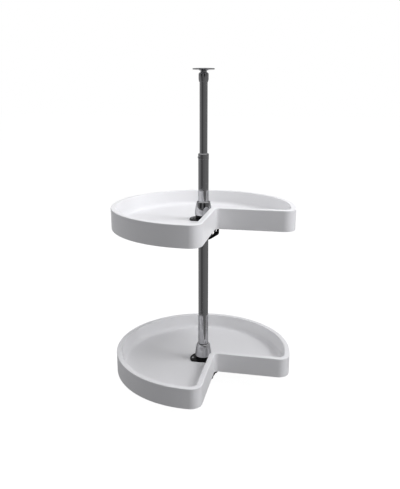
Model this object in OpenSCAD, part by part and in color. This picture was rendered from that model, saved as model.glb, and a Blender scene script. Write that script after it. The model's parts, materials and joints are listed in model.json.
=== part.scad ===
// Two-tier kidney carousel for a corner cupboard.
// Two moulded trays turn on a telescoping tube post that is screwed down between the
// cupboard's floor and its top. Lengths are millimetres, +Z is up, and the origin is on
// the post's axis at the underside of the base plate. Both trays have their notch
// towards +X and -Y.

/* [Post] */
// Height from the base plate's underside to the top plate's face
post_h = 799; // [690:1:812]
// Height of the lower stage, to the top of its end cap
stage_h = 602.2; // [560:0.1:620]
// Outside diameter of the lower tube
tube_d = 25.4; // [22:0.1:32]
// Wall of the lower tube
tube_wall = 1.5; // [1:0.1:2]
// Outside diameter of the upper tube
inner_d = 19.05; // [16:0.05:19.2]
// Wall of the upper tube
inner_wall = 1.2; // [0.8:0.1:2]
// Length of the upper tube that stays inside the lower one
inner_overlap = 200; // [120:1:320]
// Height of the end cap above the lower tube
end_cap_h = 14.2; // [13:0.1:22]
// How far the end cap stands proud of the lower tube
end_cap_lip = 0.3; // [0.2:0.1:1.5]
// Depth of the end cap's spigot inside the tube
end_cap_spigot = 20; // [10:1:40]
// Clamp screw's depth below the top of the end cap
clamp_screw_drop = 9; // [7.5:0.5:9.5]

/* [Base and top plates] */
// Diameter of the base plate
base_d = 56; // [54:1:90]
// Thickness of the base plate
base_t = 3; // [2.8:0.1:6]
// Circle of the base plate's screw holes
base_pcd = 46; // [44:1:47]
// Diameter of the top plate
top_d = 52; // [50:1:80]
// Thickness of the top plate
top_t = 2.5; // [2.4:0.1:5]
// Circle of the top plate's screw holes
top_pcd = 38; // [36:1:41]
// Fixing screw holes in both plates
fixing_hole_d = 4.5; // [3.5:0.1:5]
// Number of fixing screw holes in each plate
fixing_holes = 4; // [3:1:4]
// Height of the plug inside the foot of the lower tube
base_plug_h = 30; // [20:1:60]
// Height of the rounded cap on the upper tube
top_cap_h = 21.5; // [16:0.5:30]
// How far that cap stands proud of the upper tube
top_cap_lip = 2.3; // [1.5:0.1:4]

/* [Trays] */
// Diameter of the trays
tray_d = 457.2; // [400:0.1:720]
// Height of the trays' outer wall
rim_h = 51.8; // [46:0.1:60]
// Width of the lip on top of the wall
lip_w = 13.5; // [12:0.1:18]
// Wall of the moulding
wall_t = 3; // [2:0.1:4]
// Depth of the floor below the lip
floor_depth = 38; // [34:0.5:42]
// Radius between the inner wall and the floor
floor_fillet = 10; // [6:0.5:14]
// How far the inner wall leans in on its way down
wall_draft = 1.5; // [0.5:0.1:3]
// Radius on the edges of the lip
lip_edge_r = 2; // [0.5:0.1:2.5]
// Radius of the flat floor's corner in each lobe
lobe_floor_r = 3; // [3:0.5:30]
// Outer radius of the notch's inside corner
notch_corner_r = 10; // [4:0.5:30]
// Height of the lower tray's lip above the base
lower_lip_z = 91.8; // [91:0.1:140]
// Height of the upper tray's lip above the lower one's
tray_spacing = 383.8; // [330:0.1:390]

/* [Tray ribs] */
// Thickness of the ribs under the floor
rib_t = 2; // [1.2:0.1:3]
// Depth of the ribs below the floor
rib_depth = 8; // [4:0.5:9]
// Angle from one radial rib to the next
rib_step = 15; // [15, 30, 45]
// Radii of the two ring ribs
ring_rib_r1 = 100; // [70:1:120]
ring_rib_r2 = 160; // [130:1:170]

/* [Collars and hubs] */
// Clear gap between the collar's foot and the tray's inner wall
hub_gap = 1.7; // [1:0.1:6]
// Height of the clamp collar
collar_h = 34; // [30:0.5:37]
// How far the collar stands above the tray's lip
collar_rise = 8.5; // [4:0.5:12]
// Wall of the collar at its top
collar_wall = 3.85; // [3:0.05:6]
// How much wider the collar's radius is at its foot
collar_flare = 4.7; // [3.8:0.1:8]
// Wall of the bearing sleeve
sleeve_wall = 1.75; // [1.2:0.05:2.2]
// Length of the sleeve inside the collar
sleeve_socket = 15.5; // [10:0.5:17]
// Wall of the bush between the hub and the sleeve
bush_wall = 2.45; // [1.5:0.05:3.5]
// Wall of the hub's barrel round the bush
barrel_wall = 2.95; // [2:0.05:5]
// How far the neck's radius stays inside the collar's foot
neck_inset = 1.8; // [0.5:0.1:2]
// Width of the hub flange round its neck
flange_w = 15.5; // [13.5:0.5:17]
// Thickness of the hub flange
flange_t = 3; // [2:0.5:5]
// Depth of the hub below the tray's wall
hub_drop = 35; // [33:0.5:36]
// Number of gussets round the hub
gussets = 12; // [6, 12]
// How far the gussets reach past the hub's pad
gusset_reach = 8.5; // [2:0.5:20]
// Thickness of a gusset
gusset_t = 3; // [2:0.1:4]
// Depth of a gusset's upright edge below the tray's wall
gusset_edge = 22; // [14:1:26]
// Width of the bars round a gusset's window
gusset_bar = 4; // [3:0.5:5]

/* [Fits] */
// Radial clearance of a piece that slides or turns on another
fit = 0.05; // [0.02:0.01:0.1]
// Radial clearance of a fixed piece in its seat
seat_gap = 0.05; // [0.02:0.01:0.1]
// Clearance where a moving piece only passes another
pass_gap = 0.5; // [0.3:0.1:0.6]
// Gap between the bush's flange and the washer it turns on
thrust_gap = 0.1; // [0.05:0.05:0.2]

/* [Hidden] */
$fn = 96;
eps = 0.5;

chrome = [0.62, 0.62, 0.65];
steel = [0.55, 0.56, 0.58];
white = [0.94, 0.94, 0.93];
black = [0.10, 0.10, 0.11];
acetal = [0.86, 0.84, 0.78];
brass = [0.78, 0.64, 0.32];

// Post
tube_r = tube_d / 2;
tube_bore = tube_r - tube_wall;
inner_r = inner_d / 2;
tube_top = stage_h - end_cap_h;
inner_foot = stage_h - inner_overlap;
cap_r = tube_r + end_cap_lip;
cap_round = 2.2;
clamp_dir = -135;
clamp_screw_r = 2;
clamp_head_r = 3.5;
clamp_head_t = 2.2;
glide_h = 15;
glide_lip = 2;
screw_r = 3;
screw_head_r = 5.6;
screw_head_t = 2.2;
screw_socket_r = 2;
screw_socket_h = 2;
base_screw_bite = base_plug_h / 2;
top_cap_web = 5;
top_z = post_h - top_t;
top_boss_r = 10;
top_boss_t = 2;
top_neck_r = 7.5;
top_neck_t = 4.2;
cap_top_z = top_z - top_boss_t - top_neck_t;
top_cap_r = inner_r + top_cap_lip;
countersink_r = 4.3;

// Trays, measured down from the lip and in from the outer face
tray_r = tray_d / 2;
floor_top = -floor_depth;
floor_under = floor_top - wall_t;
fillet_z = floor_top + floor_fillet;
wall_foot = lip_w + wall_draft;
floor_edge = wall_foot + floor_fillet;
far = tray_r * 1.3;

// How far the moulding's floor and the pieces of its section reach into each other
strip_lap = 2;
lap = 0.6;
plate_edge = floor_edge + strip_lap / 2;

// Collars and hubs
bore_r = tube_r + fit;
sleeve_r = bore_r + sleeve_wall;
collar_top_r = bore_r + collar_wall;
collar_foot_r = collar_top_r + collar_flare;
collar_foot = collar_rise - collar_h;
collar_chamfer = 1.2;
neck_r = collar_foot_r - neck_inset;
neck_top = collar_foot - pass_gap;
flange_top = floor_top + flange_t;
flange_r = neck_r + flange_w;
set_screw_r = 3;
set_screw_dirs = [60, 150];
set_screw_z = (collar_rise + collar_foot + sleeve_socket) / 2;
bush_bore = sleeve_r + fit;
bush_r = bush_bore + bush_wall;
barrel_bore = bush_r + seat_gap;
barrel_r = barrel_bore + barrel_wall;
hub_screw_ring = (neck_r + flange_r) / 2;
hub_screw_r = 2;
hub_screw_gap = 0.15;
hub_screw_dirs = [75, 135, 195];
hub_head_r = 3.6;
hub_head_t = 2.4;
nut_r = 4.04;
nut_t = 3.2;
pad_r = hub_screw_ring + nut_r + 0.2;
pad_under = -rim_h - 2.2;
gusset_top = -rim_h - 0.8;
gusset_r = pad_r + gusset_reach;
hub_foot = -rim_h - hub_drop;
lip_t = 3.5;
washer_t = 1.3;
bush_flange_t = 1.5;
thrust_r = bush_r + 0.6;
counterbore_r = thrust_r + 0.4;
sleeve_foot = hub_foot + 2.4;
washer_z = sleeve_foot + lip_t;
bush_foot = washer_z + washer_t + thrust_gap;
counterbore_top = bush_foot + bush_flange_t;
bush_top = floor_under - 2;

// The notch walls stand clear of the collar, so the tray clears it at every height
notch_offset = collar_foot_r + hub_gap + wall_foot;
notch_corner = notch_offset + notch_corner_r;
flange_flat = notch_offset - wall_foot - pass_gap;
seat_flat = flange_flat + pass_gap / 2;

// Each lobe's corner arc touches the tray's circle inside and the notch wall's line
lobe_r = floor_edge + lobe_floor_r;
lobe_y = notch_offset - lobe_r;
lobe_x = sqrt(pow(tray_r - lobe_r, 2) - pow(lobe_y, 2));
lobe_angle = atan(lobe_y / lobe_x);

// ---------------------------------------------------------------- shared shapes

module ring(outer, inner, z0, z1) {
    translate([0, 0, z0]) difference() {
        cylinder(r = outer, h = z1 - z0);
        translate([0, 0, -eps]) cylinder(r = inner, h = z1 - z0 + 2 * eps);
    }
}

// A countersunk hole through a plate, its wide end at z = 0 and its way down -Z
module countersunk_hole(hole_r, head_r, plate_t) {
    translate([0, 0, -plate_t - eps]) cylinder(r = hole_r, h = plate_t + 2 * eps);
    translate([0, 0, hole_r - head_r]) cylinder(r1 = hole_r, r2 = head_r, h = head_r - hole_r);
    cylinder(r = head_r, h = eps);
}

// A flat-head screw, its face at z = 0 and its shank down -Z, with a hexagon socket
module flat_head_screw(length) {
    difference() {
        union() {
            translate([0, 0, -length]) cylinder(r = screw_r, h = length);
            translate([0, 0, -screw_head_t])
                cylinder(r1 = screw_head_r - screw_head_t, r2 = screw_head_r, h = screw_head_t);
        }
        translate([0, 0, -screw_socket_h]) cylinder(r = screw_socket_r, h = screw_socket_h + eps, $fn = 6);
    }
}

// A headless screw that lies along +X from its point, with a hexagon socket in its end
module grub_screw(radius, length) {
    rotate([0, 90, 0]) difference() {
        union() {
            translate([0, 0, 1]) cylinder(r = radius, h = length - 1);
            cylinder(r1 = radius - 1, r2 = radius, h = 1);
        }
        translate([0, 0, length - 2]) cylinder(r = radius * 0.55, h = 2 + eps, $fn = 6);
    }
}

// ---------------------------------------------------------------- post

module base_plate() {
    color(steel) difference() {
        rotate_extrude() polygon([
            [0, 0], [base_d / 2, 0], [base_d / 2, base_t - 1], [base_d / 2 - 1, base_t], [0, base_t]
        ]);
        for (i = [0 : fixing_holes - 1]) rotate([0, 0, 45 + i * 360 / fixing_holes])
            translate([base_pcd / 2, 0, base_t]) countersunk_hole(fixing_hole_d / 2, countersink_r, base_t);
        rotate([180, 0, 0]) countersunk_hole(screw_r + seat_gap, screw_head_r + seat_gap, base_t);
    }
}

module base_plug() {
    plug_r = tube_bore - seat_gap;
    color(steel) difference() {
        translate([0, 0, base_t]) rotate_extrude() polygon([
            [0, 0], [plug_r, 0], [plug_r, base_plug_h - 2], [plug_r - 2, base_plug_h], [0, base_plug_h]
        ]);
        translate([0, 0, base_t - eps]) cylinder(r = screw_r + seat_gap, h = base_screw_bite + 4 + eps);
    }
}

module base_screw() {
    color(steel) rotate([180, 0, 0]) flat_head_screw(base_t + base_screw_bite);
}

module lower_tube() {
    color(chrome) ring(tube_r, tube_bore, base_t, tube_top);
}

module tube_end_cap() {
    spigot_r = tube_bore - seat_gap;
    guide_r = inner_r + fit;
    color(chrome) difference() {
        rotate_extrude() {
            translate([guide_r, tube_top]) square([cap_r - cap_round - guide_r, end_cap_h]);
            translate([guide_r, tube_top]) square([cap_r - guide_r, end_cap_h - cap_round]);
            intersection() {
                translate([cap_r - cap_round, stage_h - cap_round]) square(2 * cap_round);
                translate([cap_r - cap_round, stage_h - cap_round]) circle(r = cap_round);
            }
            translate([guide_r, tube_top - end_cap_spigot]) square([spigot_r - guide_r, end_cap_spigot]);
        }
        rotate([0, 0, clamp_dir]) translate([0, 0, stage_h - clamp_screw_drop]) rotate([0, 90, 0])
            cylinder(r = clamp_screw_r + seat_gap, h = cap_r + eps);
    }
}

module clamp_screw() {
    tip = inner_r + fit;
    color(steel) rotate([0, 0, clamp_dir]) translate([0, 0, stage_h - clamp_screw_drop])
        rotate([0, 90, 0]) difference() {
            union() {
                translate([0, 0, tip]) cylinder(r = clamp_screw_r, h = cap_r - tip + seat_gap);
                translate([0, 0, cap_r + seat_gap])
                    cylinder(r1 = clamp_head_r, r2 = clamp_head_r - 1, h = clamp_head_t);
            }
            translate([0, 0, cap_r + 0.8]) cylinder(r = 1.7, h = clamp_head_t, $fn = 6);
        }
}

module upper_tube() {
    color(chrome) ring(inner_r, inner_r - inner_wall, inner_foot, cap_top_z - top_cap_web);
}

module glide_ring() {
    color(acetal) rotate_extrude() {
        translate([inner_r + seat_gap, inner_foot]) square([tube_bore - inner_r - seat_gap - fit, glide_h]);
        translate([inner_r - inner_wall, inner_foot - glide_lip])
            square([tube_bore - inner_r + inner_wall - fit, glide_lip]);
    }
}

module top_cap() {
    foot = cap_top_z - top_cap_h;
    taper = 5;
    shoulder = 6;
    color(chrome) difference() {
        rotate_extrude() union() {
            polygon([
                [0, foot], [inner_r + 0.8, foot], [top_cap_r, foot + taper],
                [top_cap_r, cap_top_z - shoulder], [0, cap_top_z - shoulder]
            ]);
            intersection() {
                translate([0, cap_top_z - shoulder]) square([top_cap_r, shoulder]);
                translate([top_cap_r - shoulder, cap_top_z - shoulder]) circle(r = shoulder);
            }
            translate([0, cap_top_z - shoulder]) square([top_cap_r - shoulder, shoulder]);
            translate([0, cap_top_z - 1]) square([top_neck_r, top_neck_t + 1]);
        }
        translate([0, 0, foot - eps]) cylinder(r = inner_r + seat_gap, h = top_cap_h - top_cap_web + eps);
        translate([0, 0, foot]) cylinder(r = screw_r + seat_gap, h = top_cap_h + top_neck_t + eps);
    }
}

module top_plate() {
    color(chrome) translate([0, 0, top_z]) difference() {
        rotate_extrude() polygon([
            [0, -top_boss_t], [top_boss_r, -top_boss_t], [top_boss_r + 2, 0], [top_d / 2 - 0.8, 0],
            [top_d / 2, 0.8], [top_d / 2, top_t], [0, top_t]
        ]);
        for (i = [0 : fixing_holes - 1]) rotate([0, 0, 45 + i * 360 / fixing_holes])
            translate([top_pcd / 2, 0, 0]) rotate([180, 0, 0])
                countersunk_hole(fixing_hole_d / 2, countersink_r - 0.2, top_t);
        translate([0, 0, top_t])
            countersunk_hole(screw_r + seat_gap, screw_head_r + seat_gap, top_t + top_boss_t);
    }
}

module top_screw() {
    color(steel) translate([0, 0, post_h])
        flat_head_screw(top_t + top_boss_t + top_neck_t + top_cap_web + 2);
}

// ---------------------------------------------------------------- carrier: what clamps on the post

module collar() {
    color(chrome) difference() {
        rotate_extrude() polygon([
            [bore_r, collar_foot], [collar_foot_r, collar_foot], [collar_foot_r, collar_foot + 1],
            [collar_top_r, collar_rise - collar_chamfer], [collar_top_r - collar_chamfer, collar_rise],
            [bore_r, collar_rise]
        ]);
        translate([0, 0, collar_foot - eps]) cylinder(r = sleeve_r + seat_gap, h = sleeve_socket + eps);
        for (a = set_screw_dirs) rotate([0, 0, a]) translate([0, 0, set_screw_z]) rotate([0, 90, 0])
            cylinder(r = set_screw_r + seat_gap, h = collar_foot_r);
    }
}

module set_screws() {
    color(steel) for (a = set_screw_dirs) rotate([0, 0, a]) translate([bore_r, 0, set_screw_z])
        grub_screw(set_screw_r, collar_wall);
}

module sleeve() {
    color(steel) rotate_extrude() {
        translate([bore_r, sleeve_foot]) square([sleeve_wall, collar_foot + sleeve_socket - sleeve_foot]);
        translate([bore_r, sleeve_foot]) square([thrust_r - bore_r, lip_t]);
    }
}

module thrust_washer() {
    color(brass) ring(thrust_r, sleeve_r + seat_gap, washer_z, washer_z + washer_t);
}

// ---------------------------------------------------------------- tray and its hub: what turns

// The quarter disc that rounds the lip's outer edge
module lip_edge() {
    intersection() {
        translate([lip_edge_r - far, -lip_edge_r]) square(far);
        translate([lip_edge_r, -lip_edge_r]) circle(r = lip_edge_r);
    }
}

// The rim's section: x runs in from the outer face and y is the height, with the lip at 0.
// Its pieces lap inside each other, so that only the arcs' ends meet the straight edges.
module rim_section() {
    union() {
        polygon([
            [0, -rim_h], [0, -lip_edge_r], [lip_edge_r, 0], [lip_w - lip_edge_r, 0], [lip_w, -lip_edge_r],
            [lip_w, -wall_t], [wall_foot, fillet_z], [wall_foot - lap, fillet_z - lap],
            [wall_foot - wall_t + lap, fillet_z - lap], [wall_foot - wall_t, fillet_z],
            [lip_w - wall_t, -wall_t], [wall_t, -wall_t], [wall_t, -rim_h]
        ]);
        lip_edge();
        translate([lip_w, 0]) mirror([1, 0]) lip_edge();
        intersection() {
            translate([floor_edge - far, fillet_z - far]) square(far);
            translate([floor_edge, fillet_z]) difference() {
                circle(r = floor_fillet + wall_t);
                circle(r = floor_fillet);
            }
        }
        polygon([
            [floor_edge, floor_top], [floor_edge + strip_lap, floor_top],
            [floor_edge + strip_lap, floor_under], [floor_edge, floor_under],
            [floor_edge - lap, floor_under + lap], [floor_edge - lap, floor_top - lap]
        ]);
    }
}

// The section with its outer face at radius r and the tray inside it
module section_inside(r) {
    translate([r, 0]) mirror([1, 0]) rim_section();
}

// The sector between the two lobes' corner arcs, where the round rim stops
module notch_sector() {
    lobe_end = far * [cos(lobe_angle), -sin(lobe_angle)];
    translate([0, 0, -far / 2]) linear_extrude(height = far)
        polygon([[0, 0], lobe_end, [far, -far], [-lobe_end[1], -lobe_end[0]]]);
}

// A lobe's arc centre, placed as whole millimetres, thousandths and the rest
module at_lobe() {
    whole = floor(lobe_x);
    thousandths = floor((lobe_x - whole) * 1000) / 1000;
    rest = lobe_x - whole - thousandths;
    translate([whole, -lobe_y, 0]) translate([thousandths, 0, 0]) translate([rest, 0, 0]) children();
}

module past_lobe() {
    at_lobe() translate([0, -far, -far / 2]) cube([far, 2 * far, far]);
}

module rim() {
    difference() {
        rotate_extrude() section_inside(tray_r);
        notch_sector();
    }
    for (side = [0, 1]) mirror(side * [1, 1, 0]) {
        intersection() {
            at_lobe() rotate_extrude() section_inside(lobe_r);
            notch_sector();
            past_lobe();
        }
        difference() {
            translate([notch_corner, -notch_offset, 0]) rotate([90, 0, 90])
                linear_extrude(height = tray_r - notch_corner) rim_section();
            past_lobe();
        }
    }
    translate([notch_corner, -notch_corner, 0])
        rotate_extrude(start = 90, angle = 90) translate([notch_corner_r, 0]) rim_section();
}

module floor_outline() {
    side = notch_offset - plate_edge;
    difference() {
        circle(r = tray_r - plate_edge);
        translate([notch_corner, -notch_corner]) circle(r = notch_corner_r + plate_edge);
        translate([notch_corner, -far]) square([far, far - side]);
        translate([side, -far]) square([far, far - notch_corner]);
    }
}

// A flat disc under the hub flange, out to the outer skin of the notch walls
module hub_seat_outline(radius, flat) {
    intersection() {
        circle(r = radius);
        translate([-far, -flat]) square([far + flat, far + flat]);
    }
}

// Ribs under the floor, from the hub's pad to where the floor starts to curve up
module ribs() {
    rib_under = floor_under - rib_depth;
    rib_top = floor_top - wall_t / 2;
    for (a = [0 : rib_step : 270]) rotate([90, 0, a]) translate([0, 0, -rib_t / 2])
        linear_extrude(height = rib_t) polygon([
            [pad_r + 1, rib_under], [pad_r + 1, rib_top], [tray_r - plate_edge, rib_top],
            [tray_r - plate_edge, rib_under]
        ]);
    for (r = [ring_rib_r1, ring_rib_r2]) rotate_extrude(start = 0, angle = 270)
        translate([r - rib_t / 2, rib_under]) square([rib_t, rib_depth + wall_t / 2]);
}

module tray() {
    color(white) difference() {
        union() {
            rim();
            translate([0, 0, floor_under]) linear_extrude(height = wall_t) floor_outline();
            translate([0, 0, floor_under]) linear_extrude(height = wall_t)
                hub_seat_outline(flange_r + 3, notch_offset - wall_t / 2);
            ribs();
        }
        translate([0, 0, floor_under - rib_depth - eps])
            cylinder(r = neck_r + seat_gap, h = wall_t + rib_depth + 2 * eps);
        translate([0, 0, floor_top]) linear_extrude(height = floor_fillet)
            hub_seat_outline(flange_r + pass_gap / 2, seat_flat);
        for (a = hub_screw_dirs) rotate([0, 0, a]) translate([hub_screw_ring, 0, floor_under - eps])
            cylinder(r = hub_screw_r + hub_screw_gap, h = wall_t + 2 * eps);
    }
}

module hub_flange() {
    color(black) difference() {
        union() {
            translate([0, 0, floor_top]) linear_extrude(height = flange_t)
                hub_seat_outline(flange_r, flange_flat);
            translate([0, 0, floor_under]) cylinder(r = neck_r, h = neck_top - floor_under - 1);
            translate([0, 0, neck_top - 1]) cylinder(r1 = neck_r, r2 = neck_r - 1, h = 1);
        }
        translate([0, 0, floor_under - eps])
            cylinder(r = sleeve_r + pass_gap, h = neck_top - floor_under + 2 * eps);
        for (a = hub_screw_dirs) rotate([0, 0, a]) translate([hub_screw_ring, 0, floor_top - eps])
            cylinder(r = hub_screw_r + hub_screw_gap, h = flange_t + 2 * eps);
    }
}

// A gusset's side, in from the hub's axis: three bars round a window, down to a slanted foot
module gusset_outline() {
    root = barrel_r + 1;
    slope = (hub_drop - gusset_edge) / (gusset_r - root);
    foot_bar = gusset_bar * sqrt(1 + slope * slope);
    window_in = root + 2;
    window_out = gusset_r - gusset_bar;
    window_top = gusset_top - gusset_bar;
    difference() {
        polygon([
            [barrel_r - 1, gusset_top], [gusset_r, gusset_top], [gusset_r, -rim_h - gusset_edge],
            [root, hub_foot], [barrel_r - 1, hub_foot]
        ]);
        polygon([
            [window_in, window_top], [window_out, window_top],
            [window_out, hub_foot + slope * (window_out - root) + foot_bar],
            [window_in, hub_foot + slope * (window_in - root) + foot_bar]
        ]);
    }
}

module hub() {
    color(black) difference() {
        union() {
            translate([0, 0, pad_under]) cylinder(r = pad_r, h = floor_under - pad_under);
            translate([0, 0, hub_foot]) cylinder(r = barrel_r, h = pad_under - hub_foot + eps);
            for (i = [0 : gussets - 1]) rotate([90, 0, i * 360 / gussets])
                translate([0, 0, -gusset_t / 2]) linear_extrude(height = gusset_t) gusset_outline();
        }
        translate([0, 0, hub_foot - eps]) cylinder(r = barrel_bore, h = floor_under - hub_foot + 2 * eps);
        translate([0, 0, hub_foot - eps]) cylinder(r = counterbore_r, h = counterbore_top - hub_foot + eps);
        for (a = hub_screw_dirs) rotate([0, 0, a]) translate([hub_screw_ring, 0, pad_under - eps])
            cylinder(r = hub_screw_r + hub_screw_gap, h = floor_under - pad_under + 2 * eps);
    }
}

module bush() {
    color(acetal) rotate_extrude() {
        translate([bush_bore, bush_foot]) square([bush_wall, bush_top - bush_foot]);
        translate([bush_bore, bush_foot]) square([thrust_r - bush_bore, bush_flange_t]);
    }
}

module hub_screws() {
    color(steel) for (a = hub_screw_dirs) rotate([0, 0, a]) translate([hub_screw_ring, 0, 0])
        difference() {
            union() {
                translate([0, 0, pad_under - nut_t - 1])
                    cylinder(r = hub_screw_r, h = flange_top - pad_under + nut_t + 1);
                translate([0, 0, flange_top])
                    cylinder(r1 = hub_head_r, r2 = hub_head_r - 0.8, h = hub_head_t);
            }
            translate([0, 0, flange_top + hub_head_t - 1.5]) cylinder(r = 1.6, h = 2, $fn = 6);
        }
}

module hub_nuts() {
    color(steel) for (a = hub_screw_dirs) rotate([0, 0, a])
        translate([hub_screw_ring, 0, pad_under - nut_t]) difference() {
            cylinder(r = nut_r, h = nut_t, $fn = 6);
            translate([0, 0, -eps]) cylinder(r = hub_screw_r + seat_gap, h = nut_t + 2 * eps);
        }
}

module at_lower() {
    translate([0, 0, lower_lip_z]) children();
}

module at_upper() {
    translate([0, 0, lower_lip_z + tray_spacing]) children();
}

// ---------------------------------------------------------------- nodes

base_plate();
base_plug();
base_screw();
lower_tube();
tube_end_cap();
clamp_screw();
upper_tube();
glide_ring();
top_cap();
top_plate();
top_screw();
at_lower() collar();  // lower_collar
at_lower() set_screws();  // lower_set_screws
at_lower() sleeve();  // lower_sleeve
at_lower() thrust_washer();  // lower_thrust_washer
at_lower() tray();  // lower_tray
at_lower() hub_flange();  // lower_hub_flange
at_lower() hub();  // lower_hub
at_lower() bush();  // lower_bush
at_lower() hub_screws();  // lower_hub_screws
at_lower() hub_nuts();  // lower_hub_nuts
at_upper() collar();  // upper_collar
at_upper() set_screws();  // upper_set_screws
at_upper() sleeve();  // upper_sleeve
at_upper() thrust_washer();  // upper_thrust_washer
at_upper() tray();  // upper_tray
at_upper() hub_flange();  // upper_hub_flange
at_upper() hub();  // upper_hub
at_upper() bush();  // upper_bush
at_upper() hub_screws();  // upper_hub_screws
at_upper() hub_nuts();  // upper_hub_nuts
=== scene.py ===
"""A two-tier kidney carousel for a corner cupboard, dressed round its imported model.

Every length is in metres, in the row frame: +Z is up the post and the notches face +X and -Y.
"""

import json
import logging
import math
from dataclasses import dataclass
from enum import Enum
from typing import Any, Callable, Iterable, Sequence

import bmesh
import bpy
from bmesh.types import BMEdge, BMesh, BMVert
from mathutils import Matrix, Vector


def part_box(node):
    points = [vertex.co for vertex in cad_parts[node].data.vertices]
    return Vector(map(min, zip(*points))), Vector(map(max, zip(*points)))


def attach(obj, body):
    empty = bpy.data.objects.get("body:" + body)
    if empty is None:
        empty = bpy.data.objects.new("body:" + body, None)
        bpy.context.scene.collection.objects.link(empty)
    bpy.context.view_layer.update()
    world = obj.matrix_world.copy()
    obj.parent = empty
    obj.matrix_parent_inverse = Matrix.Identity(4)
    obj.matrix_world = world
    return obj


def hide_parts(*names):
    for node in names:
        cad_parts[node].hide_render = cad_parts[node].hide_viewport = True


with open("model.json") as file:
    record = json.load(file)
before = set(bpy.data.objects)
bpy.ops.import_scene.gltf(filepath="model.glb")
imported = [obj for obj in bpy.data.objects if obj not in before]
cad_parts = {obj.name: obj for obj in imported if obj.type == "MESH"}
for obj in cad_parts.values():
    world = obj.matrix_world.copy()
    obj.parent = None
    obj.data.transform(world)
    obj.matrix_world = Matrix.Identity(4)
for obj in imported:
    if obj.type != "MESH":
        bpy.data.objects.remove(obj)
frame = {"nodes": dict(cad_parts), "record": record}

LOG = logging.getLogger("carousel")

Triple = tuple[float, float, float]
Pair = tuple[float, float]
Values = dict[Any, Any] | None

ORIGIN = Vector((0.0, 0.0, 0.0))
UP = Vector((0.0, 0.0, 1.0))
LAY_DOWN = Matrix.Rotation(math.pi / 2, 4, "Y")
WELD = 1e-6
FIT = 0.00005            # the gap round what fits closely
COLLAR_STEP = 0.0018     # how far a hub's neck stays inside its collar's foot
WHITE = (1.0, 1.0, 1.0)
SHARP_ANGLE = math.radians(34.0)
ROUND_STEPS = 128
SMALL_STEPS = 48
HEXAGON = 6
CORNER_STEPS = 4


class Slot(Enum):
    """The record's material slots."""

    WHITE = "white_plastic"
    BLACK = "black_plastic"
    CHROME = "chrome"
    STEEL = "plated_steel"
    ACETAL = "acetal"
    BRASS = "brass"


class Cut(Enum):
    """How one closed mesh is combined with another."""

    TAKE_AWAY = "DIFFERENCE"
    ADD = "UNION"


# ---- shader building


def math_method(operation: str, reflected: bool = False) -> Callable[["Wire", Any], "Wire"]:
    """Makes a method of a wire that adds a Math node.

    Args:
        operation: The Math node's operation.
        reflected: Whether the other value comes first.

    Returns:
        The method, which gives the wire that leaves the node.
    """

    def method(self: "Wire", other: Any) -> "Wire":
        """Returns the new node's wire."""
        first, second = (other, self) if reflected else (self, other)
        return self.nodes.wire("ShaderNodeMath", {"operation": operation}, {0: first, 1: second})

    return method


@dataclass(frozen=True)
class Wire:
    """A node's output that takes part in Python expressions, each of which adds Math nodes."""

    nodes: "Nodes"
    socket: bpy.types.NodeSocket

    __add__ = __radd__ = math_method("ADD")
    __mul__ = __rmul__ = math_method("MULTIPLY")
    __sub__ = math_method("SUBTRACT")
    __rsub__ = math_method("SUBTRACT", True)
    __truediv__ = math_method("DIVIDE")
    __rtruediv__ = math_method("DIVIDE", True)
    angle_from = math_method("ARCTAN2")
    at_least = math_method("MAXIMUM")
    at_most = math_method("MINIMUM")


class Nodes:
    """A node tree that is emptied and then filled by node() and by expressions on wires."""

    def __init__(self, owner: Any) -> None:
        """Empties the owner's tree.

        Args:
            owner: The material or world that owns the tree.
        """
        owner.use_nodes = True
        self.tree = owner.node_tree
        self.tree.nodes.clear()

    def node(self, kind: str, settings: Values = None, inputs: Values = None) -> bpy.types.Node:
        """Adds a node.

        Args:
            kind: The node's type.
            settings: The node's own settings, which are set first.
            inputs: The value or wire of each socket, by its name or number.

        Returns:
            The node.
        """
        node = self.tree.nodes.new(kind)
        for key, value in (settings or {}).items():
            setattr(node, key, value)
        for key, value in (inputs or {}).items():
            if isinstance(value, Wire):
                self.tree.links.new(value.socket, node.inputs[key])
            else:
                node.inputs[key].default_value = value
        return node

    def wire(
        self, kind: str, settings: Values = None, inputs: Values = None, output: Any = 0
    ) -> Wire:
        """Adds a node and gives one of its outputs.

        Args:
            kind: The node's type.
            settings: The node's own settings.
            inputs: The value or wire of each socket.
            output: The output's name or number.

        Returns:
            The wire that leaves that output.
        """
        return Wire(self, self.node(kind, settings, inputs).outputs[output])

    def shown_rays(self) -> Wire:
        """Gives 1 for a camera, glossy or transmission ray, to which the surroundings are white."""
        path = self.node("ShaderNodeLightPath")
        kinds = ("Camera", "Glossy", "Transmission")
        camera, glossy, through = (Wire(self, path.outputs[f"Is {kind} Ray"]) for kind in kinds)
        return camera.at_least(glossy).at_least(through)

    def colours(self, factor: Wire, low: Any, high: Any) -> Wire:
        """Mixes two colours.

        Args:
            factor: The share of the second colour.
            low: The colour at 0, three numbers or a wire.
            high: The colour at 1, three numbers or a wire.

        Returns:
            The wire with the mixed colour.
        """
        low, high = (side if isinstance(side, Wire) else (*side, 1.0) for side in (low, high))
        return self.wire("ShaderNodeMix", {"data_type": "RGBA"}, {0: factor, 6: low, 7: high}, 2)


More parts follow.
